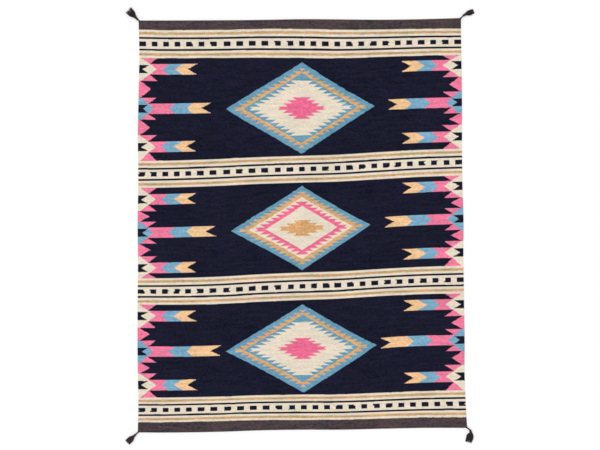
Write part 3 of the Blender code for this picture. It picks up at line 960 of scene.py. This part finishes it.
def tapestry_wool():
    """Hand-spun wool in weft-faced tapestry weave.

    To the eye it is quite matt, with a faint bloom of fibre at low angles. Each weft covers the warps, so the
    face is ribs of small beads in solid colour, and hand dyeing leaves paler and darker streaks along a weft.
    """
    dyes = bpy.context.scene.rug_dyes
    material = bpy.data.materials.new("tapestry_wool")
    material.use_nodes = True
    tree = material.node_tree
    tree.nodes.clear()
    place, bead, row, yarn = woven_pattern(tree)
    colour = yarn_ramp(tree, yarn, [tuple(getattr(dyes, name)) for name in YARNS])
    heather = yarn_ramp(tree, yarn, [(share, share, share) for share in HEATHER])
    swing = None
    for scale, share in UNEVENNESS:
        near = add(tree, "ShaderNodeMapping", {"Vector": place, "Scale": scale}).outputs[0]
        noise = add(
            tree, "ShaderNodeTexNoise", {"Vector": near, "Scale": 1.0, "Detail": 2.0, "Roughness": 0.6},
            noise_dimensions="2D",
        )
        tint = add(
            tree, "ShaderNodeMix", {0: TINT_SHARE, 6: noise.outputs["Fac"], 7: noise.outputs["Color"]},
            data_type="RGBA",
        ).outputs[2]
        level = add(
            tree, "ShaderNodeVectorMath", {0: tint, 1: (0.5, 0.5, 0.5)}, operation="SUBTRACT"
        ).outputs[0]
        part = add(tree, "ShaderNodeVectorMath", {0: level, 3: share}, operation="SCALE").outputs[0]
        if swing is not None:
            part = add(tree, "ShaderNodeVectorMath", {0: part, 1: swing}, operation="ADD").outputs[0]
        swing = part
    spun = add(tree, "ShaderNodeTexWhiteNoise", {"Vector": bead}, noise_dimensions="2D").outputs["Value"]
    spun = add(
        tree, "ShaderNodeMath", {0: spun, 1: BEAD_SWING, 2: -BEAD_SWING / 2}, operation="MULTIPLY_ADD"
    ).outputs[0]
    swing = add(tree, "ShaderNodeVectorMath", {0: swing, 1: spun}, operation="ADD").outputs[0]
    tone = add(
        tree, "ShaderNodeVectorMath", {0: swing, 1: heather, 2: (1.0, 1.0, 1.0)}, operation="MULTIPLY_ADD"
    ).outputs[0]
    dyed = add(tree, "ShaderNodeVectorMath", {0: colour, 1: tone}, operation="MULTIPLY")
    turn = add(tree, "ShaderNodeMath", {0: row, 1: math.pi}, operation="MULTIPLY")
    swell = add(tree, "ShaderNodeMath", {0: turn.outputs[0]}, operation="SINE")
    round_bead = add(tree, "ShaderNodeMath", {0: swell.outputs[0]}, operation="ABSOLUTE")
    fibre = add(
        tree, "ShaderNodeTexNoise", {"Vector": place, "Scale": FIBRE_SCALE, "Detail": 2.0},
        noise_dimensions="2D",
    )
    height = add(tree, "ShaderNodeMath", {0: round_bead.outputs[0], 1: fibre.outputs[0]}, operation="ADD")
    bump = add(
        tree, "ShaderNodeBump", {"Strength": 1.0, "Distance": BEAD_HEIGHT, "Height": height.outputs[0]}
    )
    shader = add(
        tree, "ShaderNodeBsdfPrincipled",
        {
            "Base Color": dyed.outputs[0],
            "Roughness": WOOL_ROUGHNESS,
            "Specular IOR Level": WOOL_SPECULAR,
            "Sheen Weight": WOOL_SHEEN,
            "Sheen Roughness": SHEEN_ROUGHNESS,
            "Normal": bump.outputs[0],
        },
    )
    add(tree, "ShaderNodeOutputMaterial", {"Surface": shader.outputs[0]})
    return material


def link(item):
    """Show an object in the scene."""
    bpy.context.scene.collection.objects.link(item)
    return item


class RUG_OT_weave_cloth(bpy.types.Operator):
    """Weave the cloth with its pattern and lay it in the place of its solid."""

    bl_idname = "rug.weave_cloth"
    bl_label = "Weave Cloth"

    def execute(self, context):
        cloth = context.scene.rug_cloth
        material = tapestry_wool()
        item = link(bpy.data.objects.new("tapestry_cloth", build_sheet_mesh()))
        tree = relief_tree(material)
        sizes = {
            "Rib Pitch": cloth.width / cloth.warps,
            "Rib Depth": cloth.rib_depth,
            "Wave Depth": cloth.wave_depth,
            "Wave Size": cloth.wave_size,
        }
        made_plain(item, tree, sizes)
        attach(item, BODY)
        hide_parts(CLOTH_NODE)
        return {"FINISHED"}


def corner_seat(tassel):
    """Middle of the cloth's blunt corner at its widest, from which the neck of a tassel starts."""
    cloth = bpy.context.scene.rug_cloth
    wide = SEAT_RIM_WIDTH
    fine = SEAT_RIM_ROUND
    beside = on_sheet(abs(tassel.right - wide / cloth.width), abs(tassel.upper - fine / cloth.length))
    below = on_sheet(abs(tassel.right - fine / cloth.width), abs(tassel.upper - wide / cloth.length))
    chord = (beside - below).normalized()
    outward = Vector((-chord.y, chord.x, 0.0))
    middle = (beside + below) / 2
    return middle + outward * math.copysign(fine, outward.dot(middle))


def centre_line(tassel):
    """Points and headings along a tassel's middle on the floor, a short step apart, from the cloth out."""
    neck = tassel.neck_length * MM
    reach = neck + HEAD_LENGTH + tassel.skirt_length * MM * (1.0 + LENGTH_SPREAD)
    turn_from = neck * TURN_FROM
    turn_to = neck + HEAD_LENGTH + tassel.skirt_length * MM * TURN_TO
    first = math.radians(tassel.neck_heading)
    last = math.radians(tassel.skirt_heading)
    place = corner_seat(tassel) + SEAT_GAP * Vector((math.cos(first), math.sin(first), 0.0))
    line = []
    for k in range(math.ceil(reach / PATH_STEP) + 1):
        share = (k * PATH_STEP - turn_from) / (turn_to - turn_from)
        heading = first + (last - first) * eased(share)
        line.append((place.copy(), heading))
        place += PATH_STEP * Vector((math.cos(heading), math.sin(heading), 0.0))
    return line


def station(line, distance):
    """Point and leftward direction at a distance along a centre line."""
    at = min(max(int(distance / PATH_STEP), 0), len(line) - 1)
    place, heading = line[at]
    forward = Vector((math.cos(heading), math.sin(heading), 0.0))
    left = Vector((-forward.y, forward.x, 0.0))
    return place + forward * (distance - at * PATH_STEP), left


def skirt_width(tassel, t):
    """Width of the skirt at a share of its length: out from the mouth to the belly, then on to the ends."""
    belly = tassel.belly_width * MM
    if t < tassel.belly_at:
        return MOUTH_WIDTH + (belly - MOUTH_WIDTH) * eased(t / tassel.belly_at)
    past = (t - tassel.belly_at) / (1.0 - tassel.belly_at)
    return belly + (tassel.end_width * MM - belly) * eased(past)


def skirt_line(tassel, line, dice, index, count):
    """Points of one yarn of the skirt, from inside the head out over the floor."""
    tassel_yarn = bpy.context.scene.rug_tassels
    radius = tassel_yarn.yarn_radius
    start = tassel.neck_length * MM
    mouth = start + HEAD_LENGTH
    pile = index % SKIRT_PILES
    beside = index // SKIRT_PILES + dice.uniform(*PLACE_SPREAD)
    share = beside / math.ceil(count / SKIRT_PILES) - 0.5
    length = tassel.skirt_length * MM * (1.0 + dice.uniform(-LENGTH_SPREAD, LENGTH_SPREAD) * 0.9)
    phase = dice.uniform(0.0, math.tau)
    waves = dice.uniform(*WAVES)
    sway = SKIRT_SWAY * dice.uniform(*SWAY_SPREAD)
    lean = dice.uniform(-LEAN, LEAN)
    upward = (pile + 0.5) / SKIRT_PILES * 2.0 - 1.0
    points = []
    for step in range(HEAD_POINTS):
        t = step / HEAD_POINTS
        place, left = station(line, start + HEAD_LENGTH * t)
        spread = HEAD_PINCH + (1.0 - HEAD_PINCH) * t
        middle = HEAD_HEIGHT / 2 + (MOUTH_HEIGHT / 2 - HEAD_HEIGHT / 2) * t
        height = middle + upward * (MOUTH_HEIGHT / 2 - radius) * spread * PILE_SHARE
        sideways = share * (MOUTH_WIDTH - 2 * radius) * spread
        points.append(place + left * sideways + Vector((0.0, 0.0, height)))
    for step in range(SKIRT_STEPS + 1):
        t = step / SKIRT_STEPS
        place, left = station(line, mouth + length * t)
        width = skirt_width(tassel, t) - 2 * radius
        lateral = (share + lean * t) * width + sway * t * math.sin(phase + math.tau * waves * t)
        rest = radius + pile * PILE_HEIGHT * (1.0 - PILE_FLATTENING * t)
        rest += LIFT_SHARE * radius * math.sin(phase * 2.0 + math.tau * waves * t) * (pile > 0)
        root = MOUTH_HEIGHT / 2 + upward * (MOUTH_HEIGHT / 2 - radius) * PILE_SHARE
        height = root + (rest - root) * eased(t / SKIRT_SETTLED_AT)
        points.append(place + left * lateral + Vector((0.0, 0.0, max(height, radius * FLOOR_ROOM))))
    return points


def wrap_line(tassel, line, turns):
    """Points of the yarn wound round the head."""
    radius = bpy.context.scene.rug_tassels.yarn_radius
    start = tassel.neck_length * MM + radius
    length = HEAD_LENGTH - 2 * radius
    total = turns * WRAP_POINTS
    points = []
    for k in range(total + 1):
        t = k / total
        angle = math.tau * turns * t
        place, left = station(line, start + length * t)
        swell = math.sin(math.pi * (BULGE_FROM + BULGE_OVER * t)) ** BULGE_FULLNESS
        half_width = (HEAD_WIDTH / 2 - radius) * swell
        half_height = (HEAD_HEIGHT / 2 - radius) * swell
        height = max(HEAD_HEIGHT / 2 + half_height * math.sin(angle), radius * FLOOR_ROOM)
        points.append(place + left * half_width * math.cos(angle) + Vector((0.0, 0.0, height)))
    return points


def neck_line(tassel, line, cord, ply):
    """Points of one ply of one cord of the neck."""
    pitch = bpy.context.scene.rug_tassels.neck_pitch
    start = NECK_START
    stop = tassel.neck_length * MM + HEAD_LENGTH * NECK_INTO_HEAD
    steps = math.ceil((stop - start) / NECK_STEP)
    cord_radius = NECK_RADIUS * CORD_TURN
    ply_radius = NECK_RADIUS * PLY_TURN
    middle = cord_radius + ply_radius + NECK_PLY_RADIUS * FLOOR_ROOM
    points = []
    for k in range(steps + 1):
        distance = start + (stop - start) * k / steps
        place, left = station(line, distance)
        turn = math.tau * (distance / pitch + cord / NECK_CORDS)
        twist = -math.tau * (distance / (pitch * PLY_PITCH) + ply / NECK_PLIES)
        flare = 1.0 + NECK_FLARE * (1.0 - eased((distance - start) / (stop - start) * 2.0))
        sideways = (cord_radius * math.cos(turn) + ply_radius * math.cos(twist)) * flare
        height = middle + cord_radius * math.sin(turn) + ply_radius * math.sin(twist)
        points.append(place + left * sideways + Vector((0.0, 0.0, height)))
    return points


def yarn_lines(tassel):
    """Every yarn of a tassel as its points and the radius and tone it keeps."""
    settings = bpy.context.scene.rug_tassels
    line = centre_line(tassel)
    dice = random.Random(tassel.seed)
    yarns = []
    for index in range(settings.strands):
        points = skirt_line(tassel, line, dice, index, settings.strands)
        radius = settings.yarn_radius * dice.uniform(*THICKNESS_SPREAD)
        yarns.append((points, radius, dice.uniform(0.0, 1.0), True))
    points = wrap_line(tassel, line, settings.wraps)
    yarns.append((points, settings.yarn_radius, dice.uniform(*TONE_SPREAD), False))
    for cord in range(NECK_CORDS):
        for ply in range(NECK_PLIES):
            points = neck_line(tassel, line, cord, ply)
            yarns.append((points, NECK_PLY_RADIUS, dice.uniform(*TONE_SPREAD), False))
    return yarns


def guide_mesh(name, yarns):
    """Mesh of bare lines, one for each yarn, with the yarn's radius and tone on its points."""
    mesh_data = bmesh.new()
    radius_layer = mesh_data.verts.layers.float.new("yarn_radius")
    tone_layer = mesh_data.verts.layers.float.new("tone")
    for points, radius, tone, thins in yarns:
        last = None
        for k, place in enumerate(points):
            t = k / (len(points) - 1)
            made = mesh_data.verts.new(place)
            made[radius_layer] = radius * (1.0 - END_THINNING * eased((t - 0.8) / 0.2) * thins)
            made[tone_layer] = tone
            if last is not None:
                mesh_data.edges.new((last, made))
            last = made
    mesh = bpy.data.meshes.new(name)
    mesh_data.to_mesh(mesh)
    mesh_data.free()
    return mesh


def plied_yarn_tree(material):
    """Node tree that turns guide lines into two-ply yarn: a lobed section that twists along each line."""
    tree = bpy.data.node_groups.new("plied_yarn", "GeometryNodeTree")
    face = tree.interface
    face.new_socket("Geometry", in_out="INPUT", socket_type="NodeSocketGeometry")
    face.new_socket("Twist Pitch", in_out="INPUT", socket_type="NodeSocketFloat")
    face.new_socket("Waist", in_out="INPUT", socket_type="NodeSocketFloat")
    face.new_socket("Sides", in_out="INPUT", socket_type="NodeSocketInt")
    face.new_socket("Geometry", in_out="OUTPUT", socket_type="NodeSocketGeometry")
    sizes = add(tree, "NodeGroupInput").outputs
    lines = add(tree, "GeometryNodeMeshToCurve", {"Mesh": sizes["Geometry"]})
    radius = add(tree, "GeometryNodeInputNamedAttribute", {"Name": "yarn_radius"}, data_type="FLOAT")
    along = add(tree, "GeometryNodeSplineParameter")
    turns = add(
        tree, "ShaderNodeMath", {0: along.outputs["Length"], 1: sizes["Twist Pitch"]}, operation="DIVIDE"
    )
    angle = add(tree, "ShaderNodeMath", {0: turns.outputs[0], 1: math.tau}, operation="MULTIPLY")
    twisted = add(
        tree, "GeometryNodeSetCurveTilt", {"Curve": lines.outputs[0], "Tilt": angle.outputs[0]}
    )
    circle = add(tree, "GeometryNodeCurvePrimitiveCircle", {"Resolution": sizes["Sides"], "Radius": 1.0})
    place = add(tree, "GeometryNodeInputPosition")
    waist = add(tree, "ShaderNodeCombineXYZ", {"X": 1.0, "Y": sizes["Waist"], "Z": 1.0})
    narrow = add(
        tree, "ShaderNodeVectorMath", {0: place.outputs[0], 1: waist.outputs[0]}, operation="MULTIPLY"
    )
    section = add(
        tree, "GeometryNodeSetPosition", {"Geometry": circle.outputs[0], "Position": narrow.outputs[0]}
    )
    swept = add(
        tree, "GeometryNodeCurveToMesh",
        {
            "Curve": twisted.outputs[0],
            "Profile Curve": section.outputs[0],
            "Scale": radius.outputs[0],
            "Fill Caps": True,
        },
    )
    smooth = add(tree, "GeometryNodeSetShadeSmooth", {"Geometry": swept.outputs[0]})
    real = add(tree, "GeometryNodeRealizeInstances", {"Geometry": smooth.outputs[0]})
    dyed = add(tree, "GeometryNodeSetMaterial", {"Geometry": real.outputs[0], "Material": material})
    add(tree, "NodeGroupOutput", {0: dyed.outputs[0]})
    return tree


def dark_brown_yarn():
    """Undyed dark brown wool, plied and left loose.

    To the eye it is matt and soft: no highlight, each yarn a little paler or darker than the next, with paler
    fibres along it.
    """
    dyes = bpy.context.scene.rug_dyes
    material = bpy.data.materials.new("dark_brown_yarn")
    material.use_nodes = True
    tree = material.node_tree
    tree.nodes.clear()
    tone = add(tree, "ShaderNodeAttribute", attribute_name="tone")
    place = add(tree, "ShaderNodeTexCoord")
    fleck = add(
        tree, "ShaderNodeTexNoise",
        {"Vector": place.outputs["Object"], "Scale": LOOSE_FLECKS, "Detail": 2.0, "Roughness": 0.6},
    )
    both = add(tree, "ShaderNodeMath", {0: tone.outputs["Fac"], 1: fleck.outputs[0]}, operation="ADD")
    share = add(tree, "ShaderNodeMath", {0: both.outputs[0], 1: 0.5}, operation="MULTIPLY")
    brown = tuple(dyes.brown)
    dark = tuple(part * LOOSE_DARK for part in brown)
    pale = tuple(part * LOOSE_PALE for part in brown)
    colour = add(
        tree, "ShaderNodeMix",
        {0: share.outputs[0], 6: (*dark, 1.0), 7: (*pale, 1.0)}, data_type="RGBA",
    )
    fibre = add(
        tree, "ShaderNodeTexNoise",
        {"Vector": place.outputs["Object"], "Scale": LOOSE_FIBRES, "Detail": 2.0},
    )
    bump = add(
        tree, "ShaderNodeBump",
        {"Strength": 0.8, "Distance": LOOSE_RELIEF, "Height": fibre.outputs[0]},
    )
    shader = add(
        tree, "ShaderNodeBsdfPrincipled",
        {
            "Base Color": colour.outputs[2],
            "Roughness": LOOSE_ROUGHNESS,
            "Specular IOR Level": WOOL_SPECULAR,
            "Sheen Weight": WOOL_SHEEN,
            "Sheen Roughness": SHEEN_ROUGHNESS,
            "Normal": bump.outputs[0],
        },
    )
    add(tree, "ShaderNodeOutputMaterial", {"Surface": shader.outputs[0]})
    return material


class RUG_OT_tie_tassels(bpy.types.Operator):
    """Tie the four corner tassels from plied yarns in the place of their solids."""

    bl_idname = "rug.tie_tassels"
    bl_label = "Tie Tassels"

    def execute(self, context):
        settings = context.scene.rug_tassels
        tree = plied_yarn_tree(dark_brown_yarn())
        for tassel in TASSELS:
            name = tassel.name + "_yarns"
            item = link(bpy.data.objects.new(name, guide_mesh(name, yarn_lines(tassel))))
            sizes = {"Twist Pitch": settings.twist_pitch, "Waist": YARN_WAIST, "Sides": YARN_SIDES}
            made_plain(item, tree, sizes)
            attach(item, BODY)
            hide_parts(tassel.name)
        return {"FINISHED"}


def seamless_floor():
    """Matt white studio floor: it shows nothing but soft shadow."""
    material = bpy.data.materials.new("seamless_floor")
    material.use_nodes = True
    tree = material.node_tree
    tree.nodes.clear()
    shader = add(
        tree, "ShaderNodeBsdfPrincipled",
        {
            "Base Color": (*bpy.context.scene.rug_stage.floor, 1.0),
            "Roughness": 0.9,
            "Specular IOR Level": 0.0,
        },
    )
    add(tree, "ShaderNodeOutputMaterial", {"Surface": shader.outputs[0]})
    return material


class RUG_OT_set_stage(bpy.types.Operator):
    """Set the floor, the lights and the camera straight above the rug."""

    bl_idname = "rug.set_stage"
    bl_label = "Set Stage"

    def execute(self, context):
        scene = context.scene
        stage = scene.rug_stage
        mesh_data = bmesh.new()
        bmesh.ops.create_grid(mesh_data, x_segments=1, y_segments=1, size=FLOOR_HALF)
        mesh = bpy.data.meshes.new("studio_floor")
        mesh_data.to_mesh(mesh)
        mesh_data.free()
        mesh.materials.append(seamless_floor())
        floor = link(bpy.data.objects.new("studio_floor", mesh))
        world = bpy.data.worlds.new("studio_light")
        world.use_nodes = True
        world.node_tree.nodes["Background"].inputs["Color"].default_value = (1.0, 1.0, 1.0, 1.0)
        world.node_tree.nodes["Background"].inputs["Strength"].default_value = stage.sky
        scene.world = world
        key = bpy.data.lights.new("key", "SUN")
        key.energy = stage.key
        key.angle = math.radians(KEY_SPREAD)
        lamp = link(bpy.data.objects.new("key", key))
        lamp.rotation_euler = Vector(KEY_FROM).to_track_quat("Z", "Y").to_euler()
        camera = bpy.data.cameras.new("camera")
        camera.lens = stage.lens
        camera.sensor_width = SENSOR_WIDTH
        seat = link(bpy.data.objects.new("camera", camera))
        height = stage.view_width * stage.lens / SENSOR_WIDTH + scene.rug_cloth.thickness
        seat.location = (stage.view_right, stage.view_up, height)
        scene.camera = seat
        scene.view_settings.view_transform = "Standard"
        return {"FINISHED"}


class RUG_PT_sidebar(bpy.types.Panel):
    """Sizes, dyes and steps of the rug in the 3D view's sidebar."""

    bl_label = "Southwest Rug"
    bl_idname = "RUG_PT_sidebar"
    bl_space_type = "VIEW_3D"
    bl_region_type = "UI"
    bl_category = "Rug"

    def draw(self, context):
        for name in SETTINGS:
            group = getattr(context.scene, name)
            box = self.layout.box()
            box.label(text=group.bl_rna.description)
            for field in group.bl_rna.properties:
                if field.identifier not in ("name", "rna_type"):
                    box.prop(group, field.identifier)
        for step in STEPS:
            self.layout.operator(step.bl_idname)


SETTINGS = {
    "rug_cloth": RugClothSettings,
    "rug_pattern": RugPatternSettings,
    "rug_dyes": RugYarnColours,
    "rug_tassels": RugTasselSettings,
    "rug_stage": RugStageSettings,
}
STEPS = (RUG_OT_set_stage, RUG_OT_tie_tassels, RUG_OT_weave_cloth)
CLASSES = (*SETTINGS.values(), *STEPS, RUG_PT_sidebar)


def register():
    """Register the settings, the steps and the panel."""
    for kind in CLASSES:
        bpy.utils.register_class(kind)
    for name, kind in SETTINGS.items():
        setattr(bpy.types.Scene, name, bpy.props.PointerProperty(type=kind))


def unregister():
    """Take the settings, the steps and the panel away again."""
    for name in SETTINGS:
        delattr(bpy.types.Scene, name)
    for kind in reversed(CLASSES):
        bpy.utils.unregister_class(kind)


def main():
    """Build everything in order."""
    register()
    bpy.ops.rug.set_stage()
    bpy.ops.rug.tie_tassels()
    bpy.ops.rug.weave_cloth()


if __name__ == "__main__":
    main()
